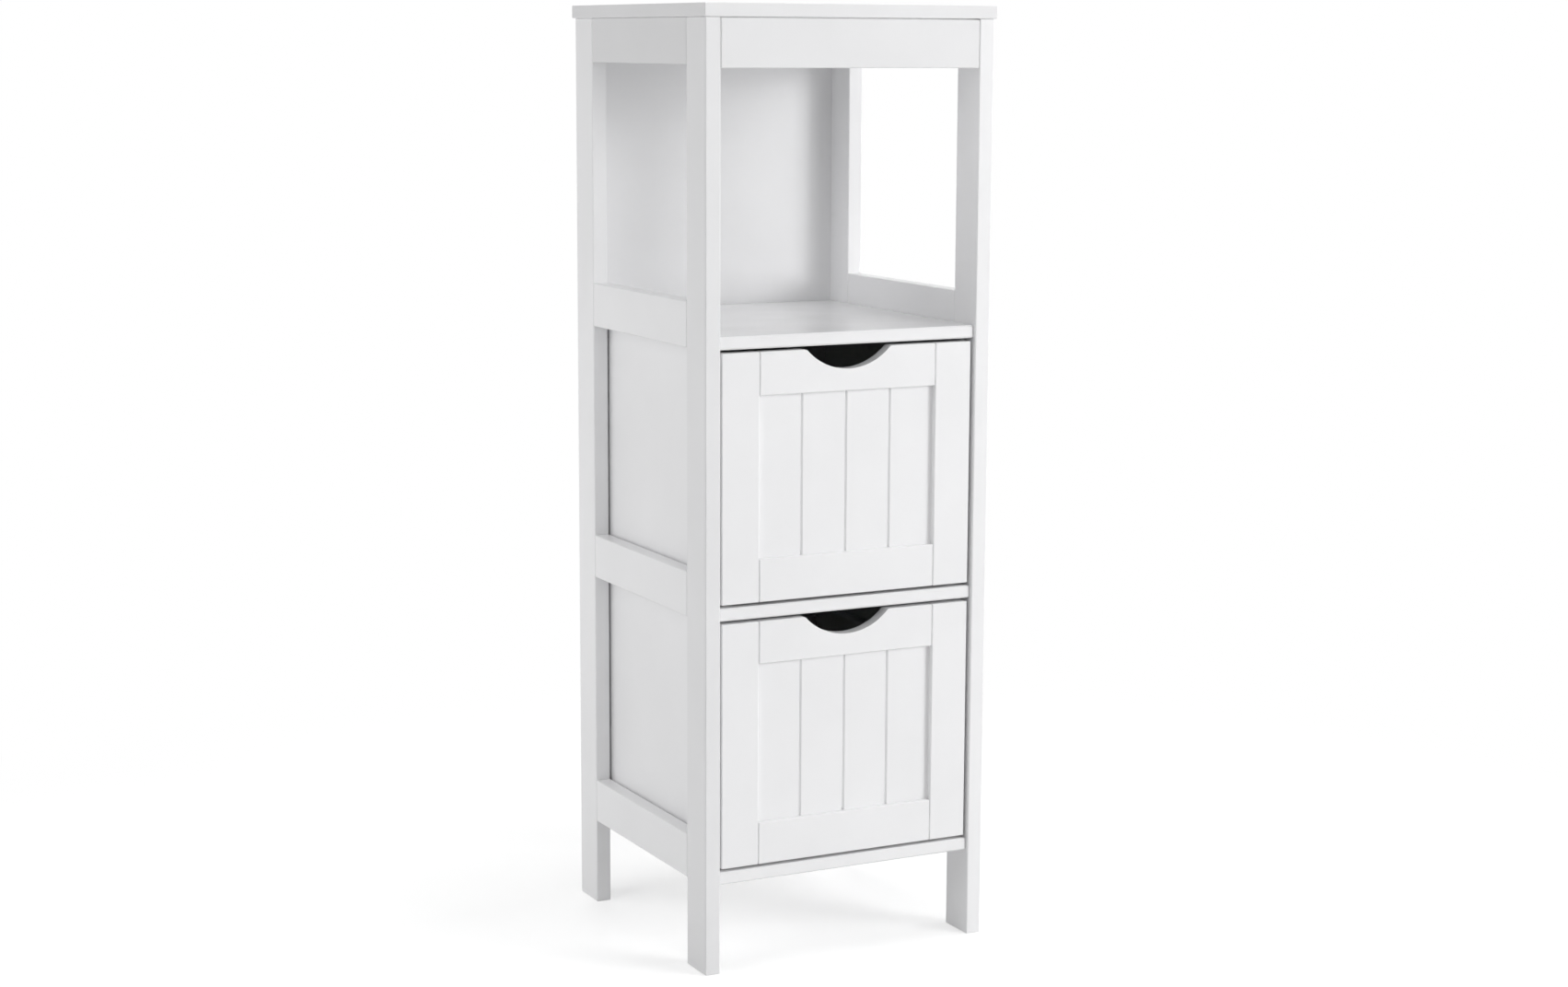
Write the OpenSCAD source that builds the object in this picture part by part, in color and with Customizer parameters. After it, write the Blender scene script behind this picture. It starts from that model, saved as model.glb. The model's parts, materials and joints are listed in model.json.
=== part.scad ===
// Bathroom storage tower: an open compartment over two drawers, in painted fibreboard.
// Two ladder side frames carry a top panel, three boards, a back panel and side infill panels.
// Frame: +Z up, the front faces -Y, and the origin is on the floor under the middle of the top panel.
// Boards are joined with cam bolts, cam locks and wooden dowels. Each drawer slides on the board below it.

/* [Overall] */
// Width of the top panel, left to right
top_w = 300; // [250:5:420]
// Depth of the top panel, front to back
top_d = 300; // [250:5:420]
// Height of the legs below the bottom board
leg_h = 84; // [40:1:160]
// Clear height of each drawer bay
bay_h = 237; // [190:1:320]
// Clear height of the open compartment, up to the top panel
open_h = 284; // [160:1:400]
// How far the top panel reaches past the posts on each side
side_overhang = 2; // [0:0.5:20]
// How far the top panel reaches past the posts in front
front_overhang = 2.5; // [0:0.5:20]
// How far the top panel reaches past the posts behind, over the screw heads
back_overhang = 4; // [2:0.5:20]

/* [Boards] */
// Thickness of the top panel and of the three boards
board_t = 12; // [10:0.5:18]
// Thickness of the posts, side rails and apron
frame_t = 15; // [12:0.5:22]
// Width of a post, seen from the side
post_w = 40; // [34:1:60]
// Height of a side rail
rail_h = 42; // [36:1:60]
// Height of the apron over the open compartment
apron_h = 45; // [38:1:70]
// Thickness of the side infill panels
infill_t = 4; // [3:0.5:6]
// Gap between the side frame and the infill panel behind it
infill_gap = 2; // [1:0.5:4]
// Thickness of the back panel
back_t = 3; // [2.5:0.5:5]
// How far the back panel laps behind each rear post
back_lap = 8; // [6:0.5:10]
// How far the boards and drawer fronts stand back from the face of the posts
face_recess = 3.2; // [0:0.1:8]
// Size of the eased edge on posts, rails and the top panel
ease = 0.8; // [0.2:0.1:1.5]
// Size of the eased edge on the three boards between the side frames
board_ease = 1.5; // [0.2:0.1:2]
// Gap between the apron and the top panel
apron_gap = 0.8; // [0:0.1:2]
// Width of the open line round the end of a rail, where it meets a post or a stile
joint_line_w = 0.4; // [0.1:0.1:0.8]
// Depth of that line
joint_line_d = 1.5; // [0.5:0.1:2]

/* [Drawer fronts] */
// Thickness of the stiles and rails of a drawer front
front_t = 12; // [10:0.5:16]
// Width of a stile
stile_w = 38; // [30:1:50]
// Height of the two rails of a drawer front
front_rail_h = 40; // [38:1:50]
// How far the planked panel stands back from the stiles
panel_recess = 5.5; // [3:0.5:6]
// How far the planked panel laps behind the stiles and rails
panel_lap = 8; // [5:0.5:10]
// Number of planks that the panel is grooved into
plank_count = 4; // [2:1:8]
// Width of a plank groove
plank_groove_w = 3; // [1:0.5:4]
// Depth of a plank groove
plank_groove_d = 2; // [0.5:0.1:2.5]
// Width of the finger cut-out at the top edge
pull_w = 88; // [60:1:110]
// Depth of the finger cut-out
pull_depth = 19.5; // [12:0.5:24]
// Radius that rounds the two top corners of the finger cut-out
pull_corner_r = 4; // [1:0.5:8]
// Gap at each side of a drawer front
front_gap_side = 3; // [1.5:0.5:4]
// Gap above a drawer front
front_gap_top = 3; // [1.5:0.5:5]
// Gap below a drawer front
front_gap_bottom = 3; // [1:0.5:4]

/* [Drawer boxes] */
// Thickness of the sides and back of a drawer
drawer_board_t = 12; // [12:0.5:16]
// Height of the sides of a drawer
drawer_side_h = 180; // [150:1:185]
// Thickness of the drawer bottom
drawer_bottom_t = 3; // [2.5:0.5:5]
// Height of the drawer bottom over the lower edge of the sides
drawer_bottom_z = 9; // [7:0.5:10]
// How far the drawer back ends below the top of the sides
drawer_back_drop = 10; // [0:1:30]
// How far the drawer bottom sits in its grooves
bottom_groove_d = 4; // [3:0.5:5]

/* [Hardware] */
// Diameter of the wooden dowels
dowel_d = 6; // [5:0.5:6]
// Diameter of a cam lock
cam_d = 15; // [12:1:15]
// Distance from a board's end to the middle of its cam lock
cam_setback = 24; // [20:1:29]
// Diameter of the threaded end of a cam bolt
bolt_thread_d = 6; // [5:0.5:6]
// Length of a dowel in the end of a board
dowel_in_end = 18; // [14:1:22]
// Length of a dowel or of a cam bolt's thread in the face of a post
in_post_face = 10; // [8:1:11]
// Length of a rail's dowels in the edge of a post
in_post_edge = 12; // [8:1:14]
// Diameter of the head of a back panel screw
pan_head_d = 6; // [5:0.5:7]

/* [Hidden] */
$fn = 48;
eps = 0.01;      // cuts run this far past a face
LEFT = -1;
RIGHT = 1;

// Clearances
seat_gap = 0.2;        // a piece in its groove or rebate, on each side
bore_gap = 0.1;        // hardware in its hole, on the radius
bore_end_gap = 1;      // a hole beyond the end of its dowel or screw
bolt_gap = 0.3;        // the shank of a cam bolt in the end of a board, on the radius
runner_gap = 0.3;      // drawer sides over the board that they slide on
drawer_side_gap = 1.5; // drawer box to the infill panels
drawer_stop_gap = 0.5; // drawer box to the back panel when closed
infill_clear = 3;      // drawer front to the front edge of the infill panels
least_wall = 0.5;      // wood left between two cuts that come close

// Colours
paint = [0.94, 0.94, 0.93];
hardboard = [0.90, 0.90, 0.88];
beech = [0.80, 0.64, 0.44];
zinc = [0.66, 0.67, 0.69];

// Heights of the boards' lower faces, from the floor up
bottom_z = leg_h;
divider_z = bottom_z + board_t + bay_h;
shelf_z = divider_z + board_t + bay_h;
top_z = shelf_z + board_t + open_h;
board_levels = [bottom_z, divider_z, shelf_z];
lower_bay_z = bottom_z + board_t;
upper_bay_z = divider_z + board_t;

// Plan of the body under the top panel
body_w = top_w - 2 * side_overhang;
front_y = -top_d / 2 + front_overhang;
rear_y = top_d / 2 - back_overhang;
inner_x = body_w / 2 - frame_t;              // inner face of the side frames
post_mid_x = body_w / 2 - frame_t / 2;
rail_front_y = front_y + post_w;
rail_rear_y = rear_y - post_w;
board_front_y = front_y + face_recess;
back_face_y = rear_y - back_t;               // inner face of the back panel
top_rail_z = top_z - rail_h;
rail_levels = [bottom_z, divider_z, shelf_z, top_rail_z];

// Hardware: the holes in a post's face lie between its outer edge and the ends of the rails' dowels
dowel_r = dowel_d / 2;
dowel_bevel = 0.8;
bolt_thread_r = bolt_thread_d / 2;
bolt_bore_r = bolt_thread_r + bolt_gap;
bolt_neck_r = bolt_thread_r - 0.8;
bolt_collar_t = 1.2;
bolt_head_t = 3;
cam_r = cam_d / 2;
cam_floor = 2;                                // wood left under a cam lock
cam_floor_gap = 0.5;
cam_slot = [7, 1.2, 1.2];                     // one arm of the cross that the screwdriver turns
corner_bolt_y = post_w - in_post_edge - bore_end_gap - least_wall - bolt_thread_r - bore_gap;
corner_dowel_y = (corner_bolt_y - bolt_thread_r) / 2;
corner_ys = [front_y + corner_dowel_y, rear_y - corner_dowel_y];
corner_bolt_ys = [front_y + corner_bolt_y, rear_y - corner_bolt_y];
rail_dowel_edge = 9;                          // from the edge of a rail to the middle of its dowel
rail_dowel_zs = [rail_dowel_edge, rail_h - rail_dowel_edge];
rail_cam_inset = 45;                          // from the end of a top rail to the middle of its cam lock
rail_cam_ys = [rail_front_y + rail_cam_inset, rail_rear_y - rail_cam_inset];
apron_mid_y = front_y + frame_t / 2;
apron_bolt_z = top_z - 15;
apron_dowel_z = top_z - apron_h + 12;
top_dowel_in = board_t - 4;                   // what is screwed or pegged into the top panel stops short of
top_thread_in = board_t - 3;                  // its upper face
screw_shank_r = 1.25;
screw_head_h = 1.6;
screw_point_l = 2;
screw_l = 12;
csk_head_r = 3.8;
csk_shank_r = 1.9;
csk_point_l = 4;
csk_l = 35;

// Infill panels stand in grooves in the boards, over and under the boards' dowels and bolts
infill_x = inner_x - infill_gap - infill_t;   // their inner face
infill_groove_d = board_t / 2 - max(dowel_r + bore_gap, bolt_bore_r) - least_wall;
infill_front_y = board_front_y + front_t + infill_clear;

// Drawer fronts and boxes, with z measured from the board that the drawer slides on
front_w = 2 * (inner_x - front_gap_side);
front_h = bay_h - front_gap_top - front_gap_bottom;
front_z = front_gap_bottom;
front_top_z = front_z + front_h;
front_face_y = board_front_y;
front_back_y = front_face_y + front_t;
window_w = front_w - 2 * stile_w;
window_z = front_z + front_rail_h;
window_h = front_h - 2 * front_rail_h;
panel_y = front_face_y + panel_recess;
box_w = 2 * (infill_x - drawer_side_gap);
box_inner_w = box_w - 2 * drawer_board_t;
box_rear_y = back_face_y - drawer_stop_gap;
box_side_mid_x = box_w / 2 - drawer_board_t / 2;
drawer_back_y = box_rear_y - drawer_board_t;
bottom_groove_h = drawer_bottom_t + seat_gap;
drawer_back_z = drawer_bottom_z + bottom_groove_h;

// Joints of a drawer: heights of its bolts, dowels and screws, and depths in its front
drawer_cam_zs = [0.2, 0.85] * drawer_side_h;
drawer_dowel_zs = [0.38, 0.65] * drawer_side_h;
drawer_screw_zs = [0.3, 0.72] * drawer_side_h;
bottom_screw_x = 0.3 * box_inner_w;
front_thread_in = front_t - 2;                // a cam bolt and a dowel stop short of the painted face
front_dowel_in = front_t - 4;
front_dowel_y = front_face_y + front_t / 2;
front_dowel_edge = 5;                         // from a rebate or a groove to the middle of a front's dowel
top_rail_dowel_zs = [front_top_z - 7, front_top_z - front_rail_h + panel_lap + front_dowel_edge];
bottom_rail_dowel_zs = [drawer_back_z + front_dowel_edge, window_z - panel_lap - front_dowel_edge];

// The finger cut-out: an arc of pull_r, met at each end by a corner rounding that is tangent to it
pull_r = (pow(pull_w / 2, 2) + pow(pull_depth, 2)) / (2 * pull_depth);
pull_arc_z = front_top_z - pull_depth + pull_r;
pull_corner_z = front_top_z - pull_corner_r;
pull_corner_x = sqrt(pow(pull_r + pull_corner_r, 2) - pow(pull_arc_z - pull_corner_z, 2));

// A rectangle from the origin with its four corners cut off by c
module eased_rect(size, c) {
    polygon([
        [c, 0], [size.x - c, 0], [size.x, c], [size.x, size.y - c],
        [size.x - c, size.y], [c, size.y], [0, size.y - c], [0, c]
    ]);
}

// A painted board from the origin, with all twelve edges eased
module eased_board(size, c = ease) {
    intersection() {
        linear_extrude(size.z)
            eased_rect([size.x, size.y], c);
        translate([0, size.y, 0])
            rotate([90, 0, 0])
                linear_extrude(size.y)
                    eased_rect([size.x, size.z], c);
        rotate([90, 0, 90])
            linear_extrude(size.x)
                eased_rect([size.y, size.z], c);
    }
}

// A rail from the origin, running along X or along Y, with an open line round the joint at each end
module rail_blank(size, along_y) {
    line = along_y ? [0, joint_line_w, 0] : [joint_line_w, 0, 0];
    skin = along_y ? [joint_line_d, 0, joint_line_d] : [0, joint_line_d, joint_line_d];
    translate(line)
        eased_board(size - 2 * line);
    translate(skin)
        cube(size - 2 * skin);
}

// Points local +Z along X, towards the given side
module along_x(side) {
    rotate([0, side * 90, 0])
        children();
}

// Points local +Z along Y, towards the rear (1) or the front (-1)
module along_y(way) {
    rotate([-way * 90, 0, 0])
        children();
}

// A dowel from local z = -below up to z = above, with bevelled ends
module dowel(below, above) {
    rotate_extrude()
        polygon([
            [0, -below], [dowel_r - dowel_bevel, -below], [dowel_r, dowel_bevel - below],
            [dowel_r, above - dowel_bevel], [dowel_r - dowel_bevel, above], [0, above]
        ]);
}

// The hole for that dowel, a little longer and wider
module dowel_bore(below, above) {
    translate([0, 0, -below - bore_end_gap])
        cylinder(r = dowel_r + bore_gap, h = below + above + 2 * bore_end_gap);
}

// A cam bolt screwed in below local z = 0, with its head at the middle of the cam lock
module cam_bolt(thread_l) {
    head_z = cam_setback - bolt_head_t / 2;
    rotate_extrude()
        polygon([
            [0, -thread_l], [bolt_neck_r, -thread_l], [bolt_thread_r, bolt_thread_r - bolt_neck_r - thread_l],
            [bolt_thread_r, bolt_collar_t], [bolt_neck_r, bolt_collar_t],
            [bolt_neck_r, head_z], [bolt_thread_r, head_z],
            [bolt_thread_r, head_z + bolt_head_t - 0.5], [bolt_thread_r - 0.5, head_z + bolt_head_t],
            [0, head_z + bolt_head_t]
        ]);
}

// The pilot hole for the threaded end, in the face that the bolt is screwed into
module bolt_pilot(thread_l) {
    translate([0, 0, -thread_l - bore_gap])
        cylinder(r = bolt_thread_r + bore_gap, h = thread_l + bore_gap + eps);
}

// The long hole in the end of a board, up to the cam lock
module bolt_bore() {
    translate([0, 0, -eps])
        cylinder(r = bolt_bore_r, h = cam_setback + eps);
}

// A cam lock, its slotted face at local z = 0 and its body below, gripping a bolt that comes from -X
module cam_lock(in_board) {
    h = in_board - cam_floor - cam_floor_gap;
    pocket_h = 2 * bolt_thread_r + 1;
    difference() {
        translate([0, 0, -h])
            cylinder(r = cam_r - bore_gap, h = h);
        // Pocket for the bolt's head, and the mouth that its neck enters by
        translate([0, 0, -in_board / 2 - pocket_h / 2])
            cylinder(r = bolt_thread_r + 1.2, h = pocket_h);
        translate([-cam_r, 0, -in_board / 2])
            rotate([0, 90, 0])
                cylinder(r = bolt_neck_r + 0.5, h = cam_r);
        for (turn = [0, 90])
            rotate([0, 0, turn])
                translate([-cam_slot.x / 2, -cam_slot.y / 2, -cam_slot.z])
                    cube([cam_slot.x, cam_slot.y, cam_slot.z + eps]);
    }
}

// The round seat that the cam lock drops into
module cam_seat(in_board) {
    translate([0, 0, cam_floor - in_board])
        cylinder(r = cam_r, h = in_board - cam_floor + eps);
}

// A pan-head screw pointing along local -Z, with its head above z = 0
module pan_screw() {
    head_r = pan_head_d / 2;
    rotate_extrude()
        polygon([
            [0, screw_head_h], [head_r * 0.6, screw_head_h * 0.9], [head_r * 0.9, screw_head_h / 2],
            [head_r, 0], [screw_shank_r, 0], [screw_shank_r, screw_point_l - screw_l], [0, -screw_l]
        ]);
}

module pan_screw_bore() {
    translate([0, 0, -screw_l - bore_end_gap])
        cylinder(r = screw_shank_r + bore_gap, h = screw_l + 2 * bore_end_gap);
}

// A countersunk screw pointing along local -Z, with its head flush at z = 0
module csk_screw() {
    rotate_extrude()
        polygon([
            [0, 0], [csk_head_r, 0], [csk_shank_r, csk_shank_r - csk_head_r],
            [csk_shank_r, csk_point_l - csk_l], [0, -csk_l]
        ]);
}

module csk_bore() {
    rotate_extrude()
        polygon([
            [0, eps], [csk_head_r + bore_gap, eps], [csk_head_r + bore_gap, 0],
            [csk_shank_r + bore_gap, csk_shank_r - csk_head_r],
            [csk_shank_r + bore_gap, -csk_l - bore_end_gap], [0, -csk_l - bore_end_gap]
        ]);
}

// Places what follows at every end of the rails of one side frame, pointing into the rail
module at_rail_dowels(side) {
    for (level = rail_levels, z = rail_dowel_zs) {
        translate([side * post_mid_x, rail_front_y, level + z])
            along_y(1)
                children();
        translate([side * post_mid_x, rail_rear_y, level + z])
            along_y(-1)
                children();
    }
}

// Dowels between the posts and the ends of the three boards, pointing into the board
module at_corner_dowels() {
    for (level = board_levels, y = corner_ys, side = [LEFT, RIGHT])
        translate([side * inner_x, y, level + board_t / 2])
            along_x(-side)
                children();
}

// Cam bolts between the posts and the ends of the three boards
module at_corner_bolts() {
    for (level = board_levels, y = corner_bolt_ys, side = [LEFT, RIGHT])
        translate([side * inner_x, y, level + board_t / 2])
            along_x(-side)
                children();
}

// Dowels from the top panel down into the tops of the posts
module at_top_dowels() {
    for (y = [front_y + post_w / 2, rear_y - post_w / 2], side = [LEFT, RIGHT])
        translate([side * post_mid_x, y, top_z])
            rotate([180, 0, 0])
                children();
}

// Cam bolts from the top panel down into the top side rails
module at_top_bolts() {
    for (y = rail_cam_ys, side = [LEFT, RIGHT])
        translate([side * post_mid_x, y, top_z])
            rotate([180, 0, 0])
                children();
}

// One dowel and one cam bolt at each end of the apron
module at_apron_ends(z) {
    for (side = [LEFT, RIGHT])
        translate([side * inner_x, apron_mid_y, z])
            along_x(-side)
                children();
}

// Seats for the cam locks of the boards, opening downwards
module at_board_cams() {
    for (level = board_levels, y = corner_bolt_ys, side = [LEFT, RIGHT])
        translate([side * (inner_x - cam_setback), y, level])
            rotate([180, 0, side == LEFT ? 0 : 180])
                children();
}

// Seats for the cam locks of the top side rails, opening inwards
module at_rail_cams() {
    for (y = rail_cam_ys, side = [LEFT, RIGHT])
        translate([side * inner_x, y, top_z - cam_setback])
            along_x(-side)
                rotate([0, 0, side == LEFT ? 0 : 180])
                    children();
}

// Seats for the cam locks of the apron, opening backwards
module at_apron_cams() {
    for (side = [LEFT, RIGHT])
        translate([side * (inner_x - cam_setback), front_y + frame_t, apron_bolt_z])
            along_y(1)
                rotate([0, 0, side == LEFT ? 0 : 180])
                    children();
}

// Screws that hold the back panel: two to a bay in each rear post, and two in the edge of each board
module at_back_screws() {
    bays = [[lower_bay_z, bay_h], [upper_bay_z, bay_h], [shelf_z + board_t, open_h]];
    for (bay = bays, share = [0.2, 0.8], side = [LEFT, RIGHT])
        translate([side * (inner_x + back_lap / 2), rear_y, bay[0] + share * bay[1]])
            along_y(1)
                children();
    for (level = board_levels, side = [LEFT, RIGHT])
        translate([side * inner_x * 0.45, rear_y, level + board_t / 2])
            along_y(1)
                children();
}

// Top panel
module top_panel() {
    color(paint)
        difference() {
            translate([-top_w / 2, -top_d / 2, top_z])
                eased_board([top_w, top_d, board_t]);
            at_top_dowels()
                dowel_bore(top_dowel_in, 0);
            at_top_bolts()
                bolt_pilot(top_thread_in);
        }
}

// A post of a side frame: the front ones take the apron, the rear ones are rebated for the back panel
module post(side, is_front) {
    outer_x = side * body_w / 2;
    y = is_front ? front_y : rear_y - post_w;
    color(paint)
        difference() {
            translate([min(outer_x, outer_x - side * frame_t), y, 0])
                eased_board([frame_t, post_w, top_z]);
            at_rail_dowels(side)
                dowel_bore(in_post_edge, 0);
            at_corner_dowels()
                dowel_bore(in_post_face, 0);
            at_corner_bolts()
                bolt_pilot(in_post_face);
            at_top_dowels()
                dowel_bore(0, dowel_in_end);
            if (is_front) {
                at_apron_ends(apron_dowel_z)
                    dowel_bore(in_post_face, 0);
                at_apron_ends(apron_bolt_z)
                    bolt_pilot(in_post_face);
            } else {
                translate([side == LEFT ? -inner_x - back_lap : inner_x - eps, back_face_y, bottom_z])
                    cube([back_lap + eps, back_t + eps, top_z - bottom_z + eps]);
                at_back_screws()
                    pan_screw_bore();
            }
        }
}

// A rail of a side frame, between its two posts
module side_rail(side, level) {
    color(paint)
        difference() {
            translate([side == LEFT ? -body_w / 2 : inner_x, rail_front_y, level])
                rail_blank([frame_t, rail_rear_y - rail_front_y, rail_h], true);
            at_rail_dowels(side)
                dowel_bore(0, dowel_in_end);
            if (level == top_rail_z) {
                at_rail_cams()
                    cam_seat(frame_t);
                at_top_bolts()
                    bolt_bore();
            }
        }
}

// Apron between the front posts
module front_apron() {
    color(paint)
        difference() {
            translate([-inner_x, front_y, top_z - apron_h])
                rail_blank([2 * inner_x, frame_t, apron_h - apron_gap], false);
            at_apron_ends(apron_dowel_z)
                dowel_bore(0, dowel_in_end);
            at_apron_ends(apron_bolt_z)
                bolt_bore();
            at_apron_cams()
                cam_seat(frame_t);
        }
}

// Grooves for the infill panels, open at the rear edge so that the panels slide in
module infill_grooves(z) {
    for (side = [LEFT, RIGHT])
        translate([
            side == LEFT ? -infill_x - infill_t - seat_gap : infill_x - seat_gap,
            infill_front_y - seat_gap, z
        ])
            cube([infill_t + 2 * seat_gap, back_face_y - infill_front_y + 1, infill_groove_d + eps]);
}

// A board between the side frames: groove_above and groove_below take the infill panels
module carcass_board(level, groove_above, groove_below) {
    color(paint)
        difference() {
            translate([-inner_x, board_front_y, level])
                eased_board([2 * inner_x, back_face_y - board_front_y, board_t], board_ease);
            at_corner_dowels()
                dowel_bore(0, dowel_in_end);
            at_corner_bolts()
                bolt_bore();
            at_board_cams()
                cam_seat(board_t);
            at_back_screws()
                pan_screw_bore();
            if (groove_above)
                infill_grooves(level + board_t - infill_groove_d);
            if (groove_below)
                infill_grooves(level - eps);
        }
}

// An infill panel beside one drawer bay, set into the boards above and below
module infill(side, bay_z) {
    reach = infill_groove_d - seat_gap;
    color(paint)
        translate([side == LEFT ? -infill_x - infill_t : infill_x, infill_front_y, bay_z - reach])
            cube([infill_t, back_face_y - infill_front_y - seat_gap, bay_h + 2 * reach]);
}

// Back panel, let into the rear posts
module back_panel() {
    half_w = inner_x + back_lap - seat_gap;
    color(hardboard)
        difference() {
            translate([-half_w, back_face_y, bottom_z + seat_gap])
                cube([2 * half_w, back_t, top_z - bottom_z - 2 * seat_gap]);
            at_back_screws()
                pan_screw_bore();
        }
}

// The dowels that join the rails of one side frame to its posts
module frame_dowels(side) {
    color(beech)
        at_rail_dowels(side)
            dowel(in_post_edge, dowel_in_end);
}

// The dowels that locate the boards, the apron and the top panel
module carcass_dowels() {
    color(beech) {
        at_corner_dowels()
            dowel(in_post_face, dowel_in_end);
        at_top_dowels()
            dowel(top_dowel_in, dowel_in_end);
        at_apron_ends(apron_dowel_z)
            dowel(in_post_face, dowel_in_end);
    }
}

module carcass_cam_bolts() {
    color(zinc) {
        at_corner_bolts()
            cam_bolt(in_post_face);
        at_top_bolts()
            cam_bolt(top_thread_in);
        at_apron_ends(apron_bolt_z)
            cam_bolt(in_post_face);
    }
}

module carcass_cam_locks() {
    color(zinc) {
        at_board_cams()
            cam_lock(board_t);
        at_rail_cams()
            cam_lock(frame_t);
        at_apron_cams()
            cam_lock(frame_t);
    }
}

module back_panel_screws() {
    color(zinc)
        at_back_screws()
            pan_screw();
}

// What the planked panel fills behind the window of a drawer front, or its rebate with a wider lap
module panel_block(lap, depth) {
    translate([-window_w / 2 - lap, panel_y, window_z - lap])
        cube([window_w + 2 * lap, depth, window_h + 2 * lap]);
}

module panel_rebate() {
    panel_block(panel_lap, front_back_y - panel_y + eps);
}

// The groove for the drawer bottom: across the back of the front and along both sides
module bottom_groove() {
    w = box_inner_w + 2 * bottom_groove_d;
    translate([-w / 2, front_back_y - bottom_groove_d, drawer_bottom_z])
        cube([w, box_rear_y - front_back_y + bottom_groove_d + eps, bottom_groove_h]);
}

// Cam bolts from the stiles back into the drawer sides
module at_drawer_bolts() {
    for (side = [LEFT, RIGHT], z = drawer_cam_zs)
        translate([side * box_side_mid_x, front_back_y, z])
            along_y(1)
                children();
}

// Dowels from the stiles back into the drawer sides
module at_drawer_dowels() {
    for (side = [LEFT, RIGHT], z = drawer_dowel_zs)
        translate([side * box_side_mid_x, front_back_y, z])
            along_y(1)
                children();
}

// Dowels between the stiles and the rails of the front, pointing into the rail
module at_front_dowels() {
    for (side = [LEFT, RIGHT], z = concat(top_rail_dowel_zs, bottom_rail_dowel_zs))
        translate([side * window_w / 2, front_dowel_y, z])
            along_x(-side)
                children();
}

// Seats for the drawer's cam locks, opening into the box
module at_drawer_cams() {
    for (side = [LEFT, RIGHT], z = drawer_cam_zs)
        translate([side * box_inner_w / 2, front_back_y + cam_setback, z])
            along_x(-side)
                rotate([0, 0, 90])
                    children();
}

// Screws through the sides into the ends of the back
module at_back_ends() {
    for (side = [LEFT, RIGHT], z = drawer_screw_zs)
        translate([side * box_w / 2, drawer_back_y + drawer_board_t / 2, z])
            along_x(side)
                children();
}

// Screws up through the drawer bottom into the back
module at_bottom_screws() {
    for (side = [LEFT, RIGHT])
        translate([side * bottom_screw_x, drawer_back_y + drawer_board_t / 2, drawer_bottom_z + seat_gap / 2])
            rotate([180, 0, 0])
                children();
}

module drawer_stile(side) {
    color(paint)
        difference() {
            translate([side == LEFT ? -front_w / 2 : window_w / 2, front_face_y, front_z])
                eased_board([stile_w, front_t, front_h]);
            panel_rebate();
            bottom_groove();
            at_front_dowels()
                dowel_bore(dowel_in_end, 0);
            at_drawer_bolts()
                bolt_pilot(front_thread_in);
            at_drawer_dowels()
                dowel_bore(front_dowel_in, 0);
        }
}

// Points along an arc of radius r about c, from one angle to another, both ends included
function arc(c, r, from, to, steps) = [
    for (i = [0 : steps])
        let (angle = from + (to - from) * i / steps)
            c + r * [cos(angle), sin(angle)]
];

// The outline of the finger cut-out: one large arc, rounded into the top edge at both ends
module pull_outline() {
    meet = atan2(pull_arc_z - pull_corner_z, pull_corner_x);   // angle at which the arcs meet
    step = 2;                                                  // degrees to a facet of the large arc
    polygon(concat(
        arc([-pull_corner_x, pull_corner_z], pull_corner_r, 90, meet, 10),
        arc([0, pull_arc_z], pull_r, 180 + meet + step, 360 - meet - step, round((180 - 2 * meet) / step)),
        arc([pull_corner_x, pull_corner_z], pull_corner_r, 180 - meet, 90, 10),
        [[pull_corner_x, front_top_z + 1], [-pull_corner_x, front_top_z + 1]]
    ));
}

module drawer_top_rail() {
    color(paint)
        difference() {
            translate([-window_w / 2, front_face_y, front_top_z - front_rail_h])
                rail_blank([window_w, front_t, front_rail_h], false);
            translate([0, front_back_y + 1, 0])
                rotate([90, 0, 0])
                    linear_extrude(front_t + 2)
                        pull_outline();
            panel_rebate();
            at_front_dowels()
                dowel_bore(0, dowel_in_end);
        }
}

module drawer_bottom_rail() {
    color(paint)
        difference() {
            translate([-window_w / 2, front_face_y, front_z])
                rail_blank([window_w, front_t, front_rail_h], false);
            panel_rebate();
            bottom_groove();
            at_front_dowels()
                dowel_bore(0, dowel_in_end);
        }
}

// The planked panel: vee grooves part its face into equal planks
module drawer_panel() {
    pitch = window_w / plank_count;
    half_w = plank_groove_w / 2;
    color(paint)
        difference() {
            panel_block(panel_lap - seat_gap, front_back_y - panel_y);
            for (i = [1 : plank_count - 1])
                translate([-window_w / 2 + i * pitch, panel_y, window_z - panel_lap])
                    linear_extrude(window_h + 2 * panel_lap)
                        polygon([[-half_w, -eps], [half_w, -eps], [0, plank_groove_d]]);
        }
}

module drawer_side(side) {
    color(paint)
        difference() {
            translate([side == LEFT ? -box_w / 2 : box_inner_w / 2, front_back_y, runner_gap])
                eased_board([drawer_board_t, box_rear_y - front_back_y, drawer_side_h - runner_gap]);
            bottom_groove();
            at_drawer_bolts()
                bolt_bore();
            at_drawer_dowels()
                dowel_bore(0, dowel_in_end);
            at_drawer_cams()
                cam_seat(drawer_board_t);
            at_back_ends()
                csk_bore();
        }
}

module drawer_back() {
    color(paint)
        difference() {
            translate([-box_inner_w / 2, drawer_back_y, drawer_back_z])
                eased_board([box_inner_w, drawer_board_t, drawer_side_h - drawer_back_drop - drawer_back_z]);
            at_back_ends()
                csk_bore();
            at_bottom_screws()
                pan_screw_bore();
        }
}

module drawer_bottom() {
    half_w = box_inner_w / 2 + bottom_groove_d - seat_gap;
    start_y = front_back_y - bottom_groove_d + seat_gap;
    color(hardboard)
        difference() {
            translate([-half_w, start_y, drawer_bottom_z + seat_gap / 2])
                cube([2 * half_w, box_rear_y - start_y, drawer_bottom_t]);
            at_bottom_screws()
                pan_screw_bore();
        }
}

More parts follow.
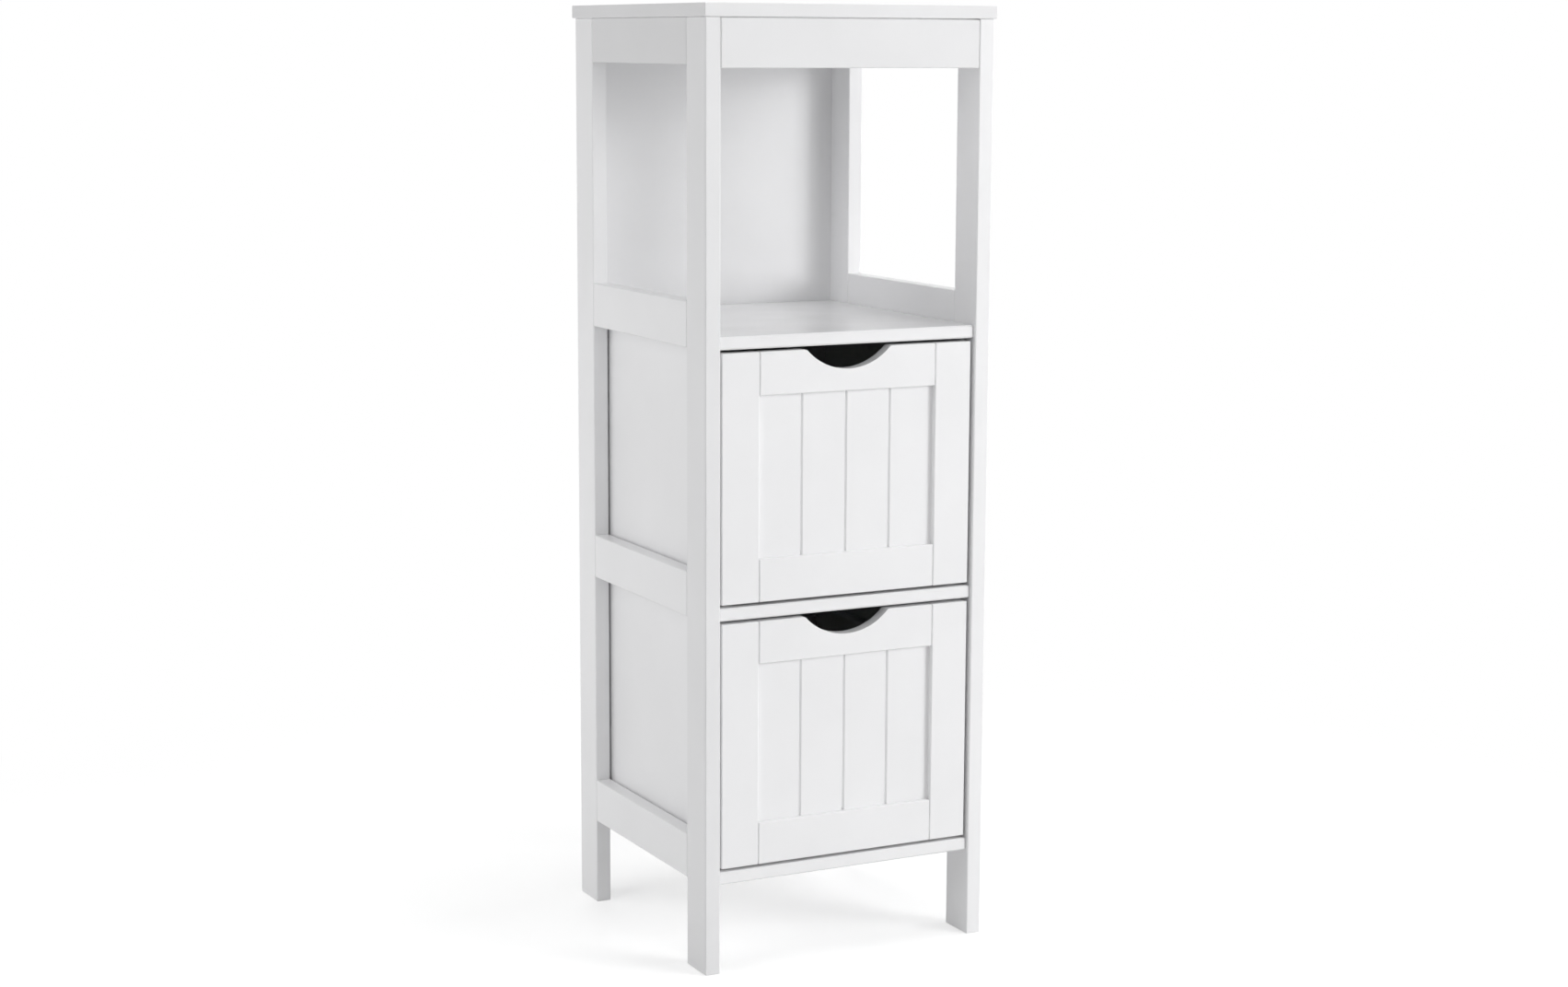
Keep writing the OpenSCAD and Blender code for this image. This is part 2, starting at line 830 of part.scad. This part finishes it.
module drawer_dowels() {
    color(beech) {
        at_front_dowels()
            dowel(dowel_in_end, dowel_in_end);
        at_drawer_dowels()
            dowel(front_dowel_in, dowel_in_end);
    }
}

module drawer_cam_bolts() {
    color(zinc)
        at_drawer_bolts()
            cam_bolt(front_thread_in);
}

module drawer_cam_locks() {
    color(zinc)
        at_drawer_cams()
            cam_lock(drawer_board_t);
}

module drawer_screws() {
    color(zinc) {
        at_back_ends()
            csk_screw();
        at_bottom_screws()
            pan_screw();
    }
}

// Lifts a drawer's piece from z = 0 to the floor of the upper or the lower bay
module upper() {
    translate([0, 0, upper_bay_z])
        children();
}

module lower() {
    translate([0, 0, lower_bay_z])
        children();
}

top_panel();
post(LEFT, true);  // front_left_post
post(RIGHT, true);  // front_right_post
post(LEFT, false);  // rear_left_post
post(RIGHT, false);  // rear_right_post
side_rail(LEFT, top_rail_z);  // left_top_rail
side_rail(LEFT, shelf_z);  // left_shelf_rail
side_rail(LEFT, divider_z);  // left_middle_rail
side_rail(LEFT, bottom_z);  // left_bottom_rail
side_rail(RIGHT, top_rail_z);  // right_top_rail
side_rail(RIGHT, shelf_z);  // right_shelf_rail
side_rail(RIGHT, divider_z);  // right_middle_rail
side_rail(RIGHT, bottom_z);  // right_bottom_rail
front_apron();
carcass_board(shelf_z, false, true);  // open_shelf
carcass_board(divider_z, true, true);  // drawer_divider
carcass_board(bottom_z, true, false);  // bottom_board
infill(LEFT, upper_bay_z);  // left_upper_infill
infill(LEFT, lower_bay_z);  // left_lower_infill
infill(RIGHT, upper_bay_z);  // right_upper_infill
infill(RIGHT, lower_bay_z);  // right_lower_infill
back_panel();
frame_dowels(LEFT);  // left_frame_dowels
frame_dowels(RIGHT);  // right_frame_dowels
carcass_dowels();
carcass_cam_bolts();
carcass_cam_locks();
back_panel_screws();
upper() drawer_stile(LEFT);  // upper_drawer_left_stile
upper() drawer_stile(RIGHT);  // upper_drawer_right_stile
upper() drawer_top_rail();  // upper_drawer_top_rail
upper() drawer_bottom_rail();  // upper_drawer_bottom_rail
upper() drawer_panel();  // upper_drawer_panel
upper() drawer_side(LEFT);  // upper_drawer_left_side
upper() drawer_side(RIGHT);  // upper_drawer_right_side
upper() drawer_back();  // upper_drawer_back
upper() drawer_bottom();  // upper_drawer_bottom
upper() drawer_dowels();  // upper_drawer_dowels
upper() drawer_cam_bolts();  // upper_drawer_cam_bolts
upper() drawer_cam_locks();  // upper_drawer_cam_locks
upper() drawer_screws();  // upper_drawer_screws
lower() drawer_stile(LEFT);  // lower_drawer_left_stile
lower() drawer_stile(RIGHT);  // lower_drawer_right_stile
lower() drawer_top_rail();  // lower_drawer_top_rail
lower() drawer_bottom_rail();  // lower_drawer_bottom_rail
lower() drawer_panel();  // lower_drawer_panel
lower() drawer_side(LEFT);  // lower_drawer_left_side
lower() drawer_side(RIGHT);  // lower_drawer_right_side
lower() drawer_back();  // lower_drawer_back
lower() drawer_bottom();  // lower_drawer_bottom
lower() drawer_dowels();  // lower_drawer_dowels
lower() drawer_cam_bolts();  // lower_drawer_cam_bolts
lower() drawer_cam_locks();  // lower_drawer_cam_locks
lower() drawer_screws();  // lower_drawer_screws
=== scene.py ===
import json
import math

import bmesh
import bpy
from mathutils import Matrix, Vector


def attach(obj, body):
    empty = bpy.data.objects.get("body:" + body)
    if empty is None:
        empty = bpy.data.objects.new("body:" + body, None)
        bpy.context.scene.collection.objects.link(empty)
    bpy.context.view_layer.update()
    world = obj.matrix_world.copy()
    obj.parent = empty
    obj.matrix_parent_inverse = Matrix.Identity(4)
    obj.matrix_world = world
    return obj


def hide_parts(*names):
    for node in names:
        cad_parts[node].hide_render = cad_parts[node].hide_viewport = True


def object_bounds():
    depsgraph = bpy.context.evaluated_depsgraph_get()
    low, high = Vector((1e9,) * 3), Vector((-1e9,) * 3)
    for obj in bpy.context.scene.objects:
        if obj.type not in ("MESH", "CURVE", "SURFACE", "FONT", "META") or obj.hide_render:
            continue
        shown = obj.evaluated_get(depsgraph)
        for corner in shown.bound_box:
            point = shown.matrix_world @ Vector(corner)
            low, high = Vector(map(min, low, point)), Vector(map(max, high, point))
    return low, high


mm = 0.001

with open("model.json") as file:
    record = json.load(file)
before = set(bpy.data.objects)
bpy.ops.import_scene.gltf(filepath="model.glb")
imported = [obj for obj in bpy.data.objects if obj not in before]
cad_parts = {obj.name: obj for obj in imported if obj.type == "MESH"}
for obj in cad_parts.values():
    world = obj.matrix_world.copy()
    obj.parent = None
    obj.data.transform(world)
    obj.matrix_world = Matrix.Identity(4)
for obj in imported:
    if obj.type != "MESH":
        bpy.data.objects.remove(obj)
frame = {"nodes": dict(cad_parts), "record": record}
cadLow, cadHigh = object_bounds()
nodes = frame["nodes"]
slotOf = {part["node"]: part["material_slot"] for part in frame["record"]["subparts"]}


# Camera: where the photograph was taken from. It looks down a little, because it has no shift

camera = {
    "place": (-1.2146, -2.3858, 0.8541),
    "yaw": 27.115,      # degrees from +Y towards +X
    "pitch": 9.17,      # degrees below the horizon
    "roll": 0.261,      # degrees that its right side is raised
    "lens": 63.91,      # in millimetres, as the sensor's width is
    "sensor": 36.0,
}


def aimCamera(values):
    yaw, pitch, roll = (math.radians(values[key]) for key in ("yaw", "pitch", "roll"))
    ahead = Vector((math.sin(yaw), math.cos(yaw), 0.0))
    forward = ahead * math.cos(pitch) - Vector((0.0, 0.0, math.sin(pitch)))
    level = Vector((math.cos(yaw), -math.sin(yaw), 0.0))
    upright = level.cross(forward)
    right = level * math.cos(roll) + upright * math.sin(roll)
    up = upright * math.cos(roll) - level * math.sin(roll)
    data = bpy.data.cameras.new("camera")
    data.lens = values["lens"]
    data.sensor_width = values["sensor"]
    obj = bpy.data.objects.new("camera", data)
    bpy.context.scene.collection.objects.link(obj)
    turn = Matrix((right, up, -forward)).transposed().to_4x4()
    obj.matrix_world = Matrix.Translation(values["place"]) @ turn
    bpy.context.scene.camera = obj


aimCamera(camera)
print("camera set")


# Small helpers for node trees

noiseDetail = {"smooth": 1.0, "plain": 2.0, "fine": 3.0}
noiseRange = {"From Min": 0.3, "From Max": 0.7}       # noise seldom leaves it
tiltRange = {"From Min": 0.2, "From Max": 0.95}       # the normal's z on an upright and on a level face
white = (1.0, 1.0, 1.0, 1.0)


class Tree:
    def __init__(self, owner):
        owner.use_nodes = True
        self.nodes = owner.node_tree.nodes
        self.links = owner.node_tree.links
        self.nodes.clear()

    def add(self, kind, inputs=(), **settings):
        node = self.nodes.new(kind)
        for key, value in settings.items():
            setattr(node, key, value)
        for name, value in dict(inputs).items():
            if isinstance(value, bpy.types.NodeSocket):
                self.links.new(value, node.inputs[name])
            else:
                node.inputs[name].default_value = value
        return node

    # Noise in the piece's own coordinates, with features of the given size in metres
    def noise(self, size, detail="plain", stretch=(1.0, 1.0, 1.0)):
        place = self.add("ShaderNodeTexCoord").outputs["Object"]
        scale = [share / size for share in stretch]
        scaled = self.add("ShaderNodeMapping", {"Vector": place, "Scale": scale})
        return self.add("ShaderNodeTexNoise", {
            "Vector": scaled.outputs["Vector"], "Scale": 1.0, "Detail": noiseDetail[detail],
        }).outputs["Fac"]

    # Noise brought to run from one value to another
    def spread(self, value, low, high):
        return self.add("ShaderNodeMapRange", {
            **noiseRange, "Value": value, "To Min": low, "To Max": high,
        }).outputs["Result"]

    # 0 on a face that lies level, 1 on one that stands upright
    def uprightness(self):
        place = self.add("ShaderNodeTexCoord")
        normal = self.add("ShaderNodeSeparateXYZ", {0: place.outputs["Normal"]})
        level = self.add("ShaderNodeMath", {0: normal.outputs["Z"]}, operation="ABSOLUTE")
        return self.add("ShaderNodeMapRange", {
            **tiltRange, "Value": level.outputs[0], "To Min": 1.0, "To Max": 0.0,
        }).outputs["Result"]

    # The sockets go by number, as a mix node has the same names again for plain values
    def blend(self, share, first, second):
        return self.add("ShaderNodeMix", {0: share, 6: first, 7: second}, data_type="RGBA").outputs[2]

    def mixColours(self, share, first, second):
        return self.blend(share, (*first, 1.0), (*second, 1.0))

    def bump(self, height, depth):
        return self.add("ShaderNodeBump", {
            "Height": height, "Strength": 1.0, "Distance": depth,
        }).outputs["Normal"]


# The curve of a screen's levels: straight up to its toe, and a power above it
screenCurve = {"white": 255, "toe": 0.04045, "toeSlope": 12.92, "lift": 0.055, "power": 2.4}


def linear(grey, tint=(0, 0, 0)):
    # a colour as it is read off a screen, 0 to 255, in Blender's linear units
    curve = screenCurve

    def convert(share):
        if share <= curve["toe"]:
            return share / curve["toeSlope"]
        return ((share + curve["lift"]) / (1 + curve["lift"])) ** curve["power"]

    return tuple(convert((grey + shift) / curve["white"]) for shift in tint)


def newMaterial(name):
    material = bpy.data.materials.new(name)
    return material, Tree(material)


def finishShader(tree, inputs):
    shader = tree.add("ShaderNodeBsdfPrincipled", inputs)
    tree.add("ShaderNodeOutputMaterial", {"Surface": shader.outputs["BSDF"]})


# White satin lacquer on fibreboard: sprayed, so it has a fine orange peel and faint clouds of sheen

whitePaint = {
    "level": 243,               # of the colour on a screen
    "tint": (0, 0, 1),          # levels added to red, green and blue
    "cloudSize": 90 * mm,
    "cloudDepth": 3,            # levels between the lightest and darkest clouds
    "roughness": (0.29, 0.36),
    "sheenSize": 45 * mm,
    "peelSize": 1.6 * mm,
    "peelHeight": 0.010 * mm,
    "specular": 0.5,
}


def makePaint(name, values, shade=1.0):
    material, tree = newMaterial(name)
    clouds = tree.spread(tree.noise(values["cloudSize"]), 0.0, 1.0)

    def coat(level):
        darkest = linear(level - values["cloudDepth"], values["tint"])
        return tree.mixColours(clouds, darkest, linear(level, values["tint"]))

    # a shade below 1 gives a darker copy of the coat: painted shade
    colour = coat(values["level"] * shade)
    # painted shade: upright faces get a darker copy of the coat than level ones
    if "paintedEdgeShade" in values:
        paintedEdgeColour = coat(values["level"] * values["paintedEdgeShade"])
        colour = tree.blend(tree.uprightness(), colour, paintedEdgeColour)
    finishShader(tree, {
        "Base Color": colour,
        "Roughness": tree.spread(tree.noise(values["sheenSize"], "fine"), *values["roughness"]),
        "Specular IOR Level": values["specular"],
        "Normal": tree.bump(tree.noise(values["peelSize"], "smooth"), values["peelHeight"]),
    })
    return material


# The boards are laid flat to dry, so their lacquer flows out to a better shine than on the frames
boardPaint = dict(whitePaint, roughness=(0.19, 0.21), peelSize=2.5 * mm, peelHeight=0.004 * mm)

# The top takes a duller coat that hides scratches. Its upright edges are painted a little darker than
# its level face: painted shade, not a different coat
topPaint = dict(whitePaint, specular=0.2, roughness=(0.60, 0.70), paintedEdgeShade=0.975)

# Inside of the drawers: the same lacquer in a thinner coat
innerPaint = dict(whitePaint, level=236, roughness=(0.42, 0.52), peelHeight=0.014 * mm)

# Thin painted hardboard: duller, with its fibres showing through
thinPanel = dict(
    whitePaint,
    level=238,
    cloudDepth=4,
    roughness=(0.46, 0.58),
    peelSize=0.9 * mm,
    peelHeight=0.02 * mm,
)


dowelWood = {
    "early": (0.66, 0.47, 0.28),
    "late": (0.52, 0.34, 0.19),
    "grainWidth": 0.9 * mm,
    "grainLength": 14 * mm,
    "roughness": (0.55, 0.70),
    "grooveHeight": 0.05 * mm,
}


def makeDowelWood(values):
    material, tree = newMaterial("beechDowel")
    slim = values["grainWidth"] / values["grainLength"]
    grain = tree.noise(values["grainWidth"], "fine", stretch=(slim, 1.0, 1.0))
    finishShader(tree, {
        "Base Color": tree.mixColours(tree.spread(grain, 0.0, 1.0), values["late"], values["early"]),
        "Roughness": tree.spread(grain, *values["roughness"]),
        "Normal": tree.bump(grain, values["grooveHeight"]),
    })
    return material


castZinc = {
    "bright": (0.54, 0.55, 0.56),
    "dull": (0.42, 0.43, 0.45),
    "roughness": (0.34, 0.50),
    "grainSize": 1.1 * mm,
    "grainHeight": 0.02 * mm,
    "sheenSize": 3.3 * mm,
}
platedSteel = dict(
    castZinc,
    bright=(0.56, 0.56, 0.57),
    dull=(0.44, 0.45, 0.46),
    roughness=(0.19, 0.26),
    grainHeight=0.004 * mm,
)


def makeMetal(name, values):
    material, tree = newMaterial(name)
    grain = tree.noise(values["grainSize"], "fine")
    finishShader(tree, {
        "Base Color": tree.mixColours(tree.spread(grain, 0.0, 1.0), values["dull"], values["bright"]),
        "Roughness": tree.spread(tree.noise(values["sheenSize"]), *values["roughness"]),
        "Metallic": 1.0,
        "Normal": tree.bump(grain, values["grainHeight"]),
    })
    return material


# Every piece of the frame gets the finish of its slot. A few white ones get a darker copy of the
# paint, as painted shade where less light falls on them, and the top panel, the boards and the cam locks
# have their own

paintedShadeOfPiece = {
    "front_left_post": 0.97,
    "front_apron": 0.965,
    "left_top_rail": 0.93,
    "right_top_rail": 0.93,
}
boards = ("open_shelf", "drawer_divider", "bottom_board")

whiteFinishes = {
    shade: makePaint("whitePaint%d" % round(1000 * shade), whitePaint, shade)
    for shade in sorted({1.0, *paintedShadeOfPiece.values()})
}
slotFinishes = {
    "inner_paint": makePaint("innerPaint", innerPaint),
    "thin_panel": makePaint("thinPanel", thinPanel),
    "dowel_wood": makeDowelWood(dowelWood),
    "fitting_metal": makeMetal("platedSteel", platedSteel),
}
topFinish = makePaint("topPaint", topPaint)
boardFinish = makePaint("boardPaint", boardPaint)
castFinish = makeMetal("castZinc", castZinc)


def finishOf(name):
    if name == "top_panel":
        return topFinish
    if name in boards:
        return boardFinish
    if name.endswith("cam_locks"):
        return castFinish
    if slotOf[name] == "white_paint":
        return whiteFinishes[paintedShadeOfPiece.get(name, 1.0)]
    return slotFinishes[slotOf[name]]


# The eased edges of the boards turn softly, as lacquer does over a sanded edge

edges = {"weld": 0.002 * mm, "round": 0.18 * mm, "segments": 2, "sharpest": 30}


def softenEdges(obj, values):
    weld = obj.modifiers.new("weld", "WELD")
    weld.merge_threshold = values["weld"]
    bevel = obj.modifiers.new("round", "BEVEL")
    bevel.width = values["round"]
    bevel.segments = values["segments"]
    bevel.limit_method = "ANGLE"
    bevel.angle_limit = math.radians(values["sharpest"])
    bevel.harden_normals = True


for name, obj in nodes.items():
    obj.data.materials.clear()
    obj.data.materials.append(finishOf(name))
    if slotOf[name] in ("white_paint", "inner_paint"):
        softenEdges(obj, edges)
print("finishes made: %d materials" % len(bpy.data.materials))


# Cross-headed screws with a cut thread stand where the frame has plain ones

screws = {
    "carriedBy": {
        "back_panel_screws": "cabinet",
        "upper_drawer_screws": "upper_drawer",
        "lower_drawer_screws": "lower_drawer",
    },
    "sides": 24,
    "stepsPerPitch": 5,
    "weld": 0.002 * mm,
    "longFrom": 6,                  # lengths, in head radii, from which a screw is a countersunk one
    "turn": math.radians(137),      # from one screw to the next, as nobody lines their slots up
    "smoothUpTo": math.radians(32),
    "sortedTo": 4,                  # decimal places of a metre
}

# Outlines run from the middle of the head outwards and down, in head radii
panHead = {
    "outline": ((0, 0), (0.34, 0.02), (0.6, 0.075), (0.8, 0.17), (0.93, 0.31), (1, 0.47), (1, 0.53)),
    "shank": 0.416,
    "smooth": 0.1,                  # of the shank, under the head, that has no thread
    "point": 2 * mm,
    "pitch": 1.1 * mm,
    "threadDepth": 0.32 * mm,
    "crestSlope": 3.2,              # thread depths that its flanks fall in one pitch
    "recess": {"wings": 4, "reach": 0.56, "width": 0.15, "depth": 0.44, "taper": 0.42, "lift": 0.1},
}
countersunkHead = dict(
    panHead,
    outline=((0, 0), (0.97, 0), (1, 0.03), (0.5, 0.53)),
    shank=0.5,
    smooth=0.35,
    point=4 * mm,
    pitch=1.8 * mm,
    threadDepth=0.5 * mm,
)


def joinRings(work, rings):
    # faces between rings of points, and a face over each end
    for upper, lower in zip(rings, rings[1:]):
        for place in range(len(upper)):
            work.faces.new((upper[place - 1], upper[place], lower[place], lower[place - 1]))
    work.faces.new(rings[0])
    work.faces.new(reversed(rings[-1]))


def turnScrew(work, radius, length, shape):
    shank, pitch, point = shape["shank"] * radius, shape["pitch"], shape["point"]
    turns = [math.tau * place / screws["sides"] for place in range(screws["sides"])]
    outline = [(share * radius, depth * radius) for share, depth in shape["outline"]]
    outline[0] = (screws["weld"], 0.0)
    rings = [[(edge, depth)] * len(turns) for edge, depth in outline]
    neck = outline[-1][1]
    threadFrom = neck + shape["smooth"] * (length - neck)
    rings += [[(shank, neck)] * len(turns), [(shank, threadFrom)] * len(turns)]
    steps = round((length - threadFrom) / (pitch / screws["stepsPerPitch"]))
    for step in range(1, steps + 1):
        depth = threadFrom + (length - threadFrom) * step / steps
        slim = min(1.0, (length - depth) / point)
        ring = []
        for turn in turns:
            phase = (depth / pitch - turn / math.tau) % 1
            root = min(1.0, abs(phase - 0.5) * shape["crestSlope"])
            ring.append((max((shank - shape["threadDepth"] * root) * slim, screws["weld"]), depth))
        rings.append(ring)
    joinRings(work, [
        [
            work.verts.new((edge * math.cos(turn), edge * math.sin(turn), -depth))
            for (edge, depth), turn in zip(ring, turns)
        ]
        for ring in rings
    ])


def shapeRecess(work, radius, recess):
    # a cross that narrows downwards, and that starts above the head to cut it cleanly
    reach, width = recess["reach"] * radius, recess["width"] * radius
    lift, depth = recess["lift"] * radius, recess["depth"] * radius
    rings = []
    for scale, height in ((1.0, lift), (1.0, 0.0), (recess["taper"], -depth)):
        ring = []
        for wing in range(recess["wings"]):
            turn = Matrix.Rotation(math.tau * wing / recess["wings"], 3, "Z")
            for x, y in ((reach, -width), (reach, width), (width, width)):
                ring.append(work.verts.new(turn @ Vector((x * scale, y * scale, height))))
        rings.append(ring)
    joinRings(work, rings)


def asObject(name, work):
    bmesh.ops.recalc_face_normals(work, faces=work.faces)
    mesh = bpy.data.meshes.new(name)
    work.to_mesh(mesh)
    work.free()
    obj = bpy.data.objects.new(name, mesh)
    bpy.context.scene.collection.objects.link(obj)
    return obj


def makeScrew(radius, length, shape):
    # the mesh of one screw: its head's top is at the origin and it points along -Z
    blank, cross = bmesh.new(), bmesh.new()
    turnScrew(blank, radius, length, shape)
    shapeRecess(cross, radius, shape["recess"])
    screw, cutter = asObject("screwBlank", blank), asObject("crossRecess", cross)
    cut = screw.modifiers.new("recess", "BOOLEAN")
    cut.object = cutter
    cut.solver = "EXACT"
    bpy.context.view_layer.update()
    mesh = bpy.data.meshes.new_from_object(screw.evaluated_get(bpy.context.evaluated_depsgraph_get()))
    bpy.data.objects.remove(screw)
    bpy.data.objects.remove(cutter)
    return mesh


def middleOf(points):
    return tuple(round(value, screws["sortedTo"]) for value in sum(points, Vector()) / len(points))


def looseParts(mesh):
    # the points of each separate solid in a mesh, in the order of their middles
    work = bmesh.new()
    work.from_mesh(mesh)
    bmesh.ops.remove_doubles(work, verts=work.verts, dist=screws["weld"])
    left, parts = dict.fromkeys(work.verts), []
    while left:
        group = [left.popitem()[0]]
        for vert in group:
            for edge in vert.link_edges:
                other = edge.other_vert(vert)
                if other in left:
                    del left[other]
                    group.append(other)
        parts.append([vert.co.copy() for vert in group])
    work.free()
    return sorted(parts, key=middleOf)


def measureScrew(points):
    # where the top of the head is, the way it faces, its radius and the screw's length
    low, high = (
        Vector([pick(point[axis] for point in points) for axis in range(3)]) for pick in (min, max)
    )
    middle, size = (low + high) / 2, high - low
    along = max(range(3), key=lambda axis: size[axis])
    outward = Vector()
    outward[along] = 1.0

    def reach(point):
        offset = point - middle
        return (offset - outward * offset.dot(outward)).length

    widest = max(points, key=reach)
    if widest[along] < middle[along]:
        outward = -outward
    return middle + outward * size[along] / 2, outward, reach(widest), size[along]


def placeScrews(node, body):
    work, made = bmesh.new(), {}
    parts = looseParts(nodes[node].data)
    for index, points in enumerate(parts):
        top, outward, radius, length = measureScrew(points)
        shape = countersunkHead if length > screws["longFrom"] * radius else panHead
        if shape["shank"] not in made:
            made[shape["shank"]] = makeScrew(radius, length, shape)
        mesh = made[shape["shank"]].copy()
        spin = Matrix.Rotation(index * screws["turn"], 4, "Z")
        aim = outward.to_track_quat("Z", "X").to_matrix().to_4x4()
        mesh.transform(Matrix.Translation(top) @ aim @ spin)
        work.from_mesh(mesh)
    obj = asObject(node.replace("_screws", "_cross_screws"), work)
    obj.data.polygons.foreach_set("use_smooth", [True] * len(obj.data.polygons))
    obj.data.set_sharp_from_angle(angle=screws["smoothUpTo"])
    obj.data.materials.append(slotFinishes["fitting_metal"])
    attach(obj, body)
    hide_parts(node)
    return len(parts)


placed = sum(placeScrews(node, body) for node, body in screws["carriedBy"].items())
print("screws placed: %d" % placed)


# Studio: a pale floor that fades into the backdrop, an even sky and softboxes

studio = {
    "sky": 0.28,                # brightness of the even light from all round
    "floorSize": 14.0,
    "floorLevel": 232,
    "floorGlow": 0.40,          # white that the camera sees over the lit floor, so that only shadows show
    "whiteFrom": 0.35,          # distances at which the floor starts and ends fading to plain white
    "whiteTo": 1.1,
}

# share is how bright white paint that faces the box looks by its light alone
softboxes = {
    "key": {"from": (1.0, -1.0, 0.25), "distance": 3.6, "size": 1.25, "share": 0.352},
    "keyFront": {"from": (0.65, -1.0, 0.4), "distance": 3.6, "size": 1.25, "share": 0.200},
    "front": {"from": (-0.3, -1.0, 0.8), "distance": 3.0, "size": 1.6, "share": 0.085},
    "left": {"from": (-1.0, 0.5, -0.02), "distance": 1.1, "size": 0.5, "share": 0.189},
    "leftHigh": {"from": (-1.0, -0.2, 0.6), "distance": 2.0, "size": 1.0, "share": 0.152},
    "rightHigh": {"from": (1.0, -0.1, 0.9), "distance": 2.6, "size": 1.2, "share": 0.187},
    "rear": {"from": (0.25, 1.0, 0.25), "distance": 3.0, "size": 1.4, "share": 0.20},
    "above": {"from": (0.0, 0.0, 1.0), "distance": 2.2, "size": 0.9, "share": 0.10},
}
# Polarised, as level lacquer would mirror them and vanish into the backdrop when it is seen from behind
polarised = ("key", "keyFront")


def seenDirectly(tree):
    # 1 where the camera, a mirror or glass looks at the surface, 0 where its light falls on the object
    path = tree.add("ShaderNodeLightPath").outputs
    share = path["Is Camera Ray"]
    for other in ("Is Glossy Ray", "Is Transmission Ray"):
        share = tree.add("ShaderNodeMath", {0: share, 1: path[other]}, operation="MAXIMUM").outputs[0]
    return share


def setSky(values):
    world = bpy.data.worlds.new("studio")
    bpy.context.scene.world = world
    tree = Tree(world)
    even = tree.add("ShaderNodeBackground", {"Color": white, "Strength": values["sky"]})
    backdrop = tree.add("ShaderNodeBackground", {"Color": white, "Strength": 1.0})
    mix = tree.add("ShaderNodeMixShader", {
        0: seenDirectly(tree), 1: even.outputs[0], 2: backdrop.outputs[0],
    })
    tree.add("ShaderNodeOutputWorld", {"Surface": mix.outputs[0]})


def makeFloorMaterial(values):
    material, tree = newMaterial("floor")
    place = tree.add("ShaderNodeTexCoord").outputs["Object"]
    away = tree.add("ShaderNodeVectorMath", {0: place}, operation="LENGTH")
    far = tree.add("ShaderNodeMapRange", {
        "Value": away.outputs["Value"], "From Min": values["whiteFrom"], "From Max": values["whiteTo"],
    }, interpolation_type="SMOOTHSTEP")
    seen = seenDirectly(tree)
    glow = tree.add("ShaderNodeMath", {0: seen, 1: values["floorGlow"]}, operation="MULTIPLY")
    share = tree.add("ShaderNodeMath", {0: seen, 1: far.outputs["Result"]}, operation="MULTIPLY")
    matt = tree.add("ShaderNodeBsdfDiffuse", {"Color": (*linear(values["floorLevel"]), 1)})
    veil = tree.add("ShaderNodeEmission", {"Color": white, "Strength": glow.outputs[0]})
    lit = tree.add("ShaderNodeAddShader", {0: matt.outputs[0], 1: veil.outputs[0]})
    backdrop = tree.add("ShaderNodeEmission", {"Color": white, "Strength": 1.0})
    mix = tree.add("ShaderNodeMixShader", {
        0: share.outputs[0], 1: lit.outputs[0], 2: backdrop.outputs[0],
    })
    tree.add("ShaderNodeOutputMaterial", {"Surface": mix.outputs[0]})
    return material


def layFloor(values):
    half = values["floorSize"] / 2
    corners = [(-half, -half, 0), (half, -half, 0), (half, half, 0), (-half, half, 0)]
    mesh = bpy.data.meshes.new("floor")
    mesh.from_pydata(corners, [], [range(len(corners))])
    floor = bpy.data.objects.new("floor", mesh)
    bpy.context.scene.collection.objects.link(floor)
    mesh.materials.append(makeFloorMaterial(values))


def hangSoftbox(name, values):
    aim = (cadLow + cadHigh) / 2
    direction = Vector(values["from"]).normalized()
    light = bpy.data.lights.new(name, "AREA")
    light.shape = "SQUARE"
    light.size = values["size"]
    light.energy = values["share"] * (math.pi * values["distance"]) ** 2
    obj = bpy.data.objects.new(name, light)
    obj.location = aim + direction * values["distance"]
    obj.rotation_euler = direction.to_track_quat("Z", "Y").to_euler()
    obj.visible_glossy = name not in polarised
    bpy.context.scene.collection.objects.link(obj)


setSky(studio)
layFloor(studio)
for name, values in softboxes.items():
    hangSoftbox(name, values)
bpy.context.scene.view_settings.view_transform = "Standard"
print("studio lit")
